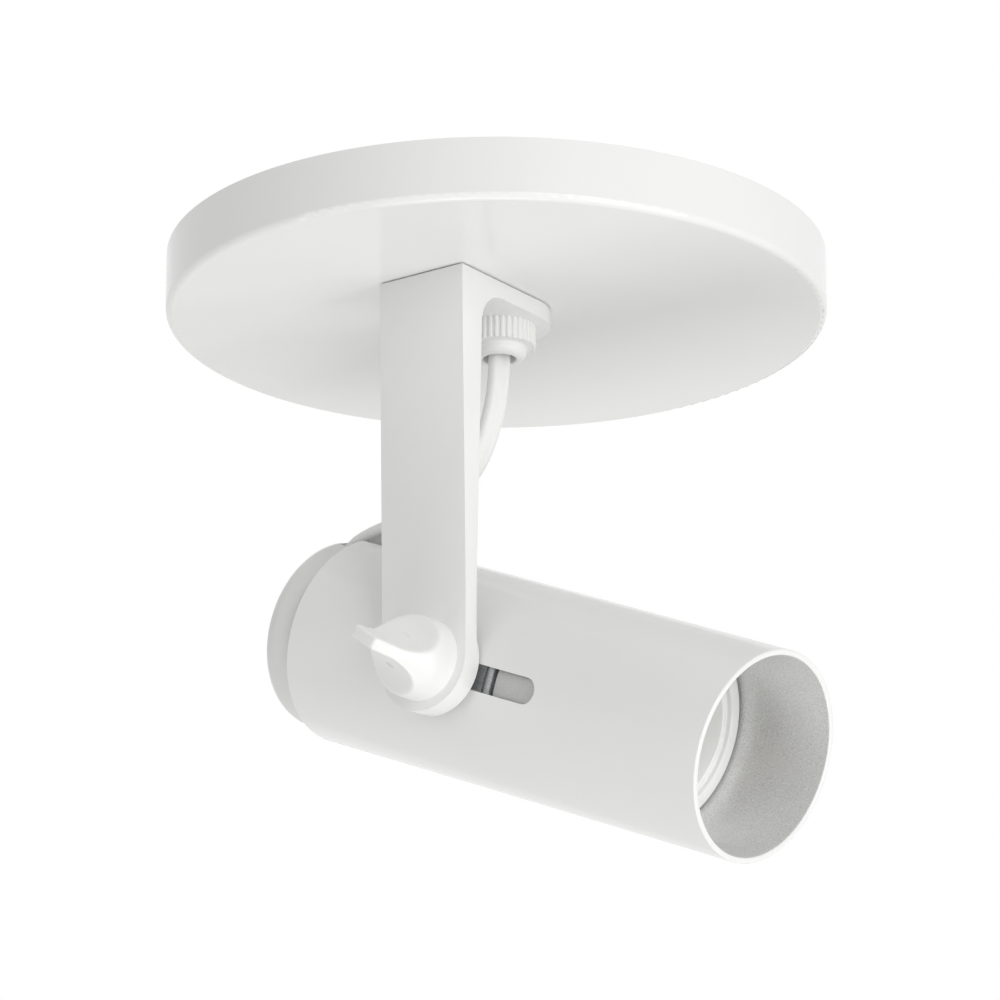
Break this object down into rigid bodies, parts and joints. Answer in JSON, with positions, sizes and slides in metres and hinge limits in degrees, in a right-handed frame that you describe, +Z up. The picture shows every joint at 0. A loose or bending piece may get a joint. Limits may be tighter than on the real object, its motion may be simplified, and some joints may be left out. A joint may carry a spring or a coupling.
{
  "type": "surface mounted ceiling spotlight",
  "caption": "Ceiling spotlight: round pan, turning L-shaped arm, open cylinder shade that tilts and slides on a thumb knob, and a short cord to its lampholder.",
  "frame": {"origin": "centre of the pan's ceiling face, midway between the crossbar's two screw slots", "axes": "+Z up into the ceiling; +X the side the cylinder's front points to at rest; -Y the arm's side"},
  "size_m": [0.1598, 0.152, 0.1546],
  "materials": {
    "white_paint": "white baked enamel, satin to gloss",
    "white_plastic": "white moulded plastic, soft gloss",
    "porcelain_plastic": "white thermoset, glossy",
    "cord_jacket": "white vinyl cord, soft sheen",
    "zinc_steel": "zinc plated",
    "spring_steel": "plain spring steel",
    "green_steel": "green ground screw",
    "shell_metal": "rolled nickelled shell",
    "brass": "plain brass",
    "black_fibre": "dark fibre washer",
    "grey_rubber": "dark rubber",
    "black_lead": "insulated lead",
    "white_lead": "insulated lead",
    "green_lead": "insulated lead",
    "connector_plastic": "orange twist-on connectors",
    "white_screw": "white painted screw"
  },
  "bodies": {
    "canopy": {"canopy_shell": "white_paint", "crossbar": "zinc_steel", "canopy_hook": "white_paint", "canopy_grub_screw": "zinc_steel", "ground_screw": "green_steel", "swivel_washer": "white_plastic", "lead_line": "black_lead", "lead_neutral": "white_lead", "ground_lead": "green_lead", "wire_connectors": "connector_plastic"},
    "arm": {"arm": "white_paint", "swivel_nipple": "zinc_steel", "swivel_locknut": "zinc_steel", "wave_washer": "spring_steel", "strain_relief_nut": "white_plastic", "cord_gripper": "grey_rubber", "power_cord": "cord_jacket"},
    "head": {"head_bracket": "zinc_steel", "tilt_stud": "zinc_steel", "friction_washer": "black_fibre", "lampholder": "porcelain_plastic", "screw_shell": "shell_metal", "centre_contact": "brass", "contact_rivet": "brass", "lampholder_screws": "zinc_steel", "lampholder_leads": "white_lead", "rear_cap": "white_plastic", "cap_screw": "white_screw", "cord_clamp": "grey_rubber"},
    "tube": {"tube": "white_paint"},
    "knob": {"thumb_knob": "white_plastic", "knob_insert": "brass", "knob_washer": "zinc_steel"}
  },
  "joints": [
    {"name": "arm_swivel", "type": "hinge", "parent": "canopy", "child": "arm", "pos_m": [0.00425, -0.00455, -0.0145], "axis": [0, 0, 1], "range_deg": [-175, 175]},
    {"name": "head_tilt", "type": "hinge", "parent": "arm", "child": "head", "pos_m": [0.00425, -0.0038, -0.1054], "axis": [0, 1, 0], "range_deg": [-22.8, 67.2], "deforming": ["power_cord"]},
    {"name": "tube_slide", "type": "slide", "parent": "head", "child": "tube", "axis": [0.9219, 0, -0.3875], "range_m": [-0.022, 0]},
    {"name": "knob_turn", "type": "hinge", "parent": "head", "child": "knob", "pos_m": [0.00425, -0.0332, -0.1054], "axis": [0, 1, 0], "continuous": true}
  ]
}
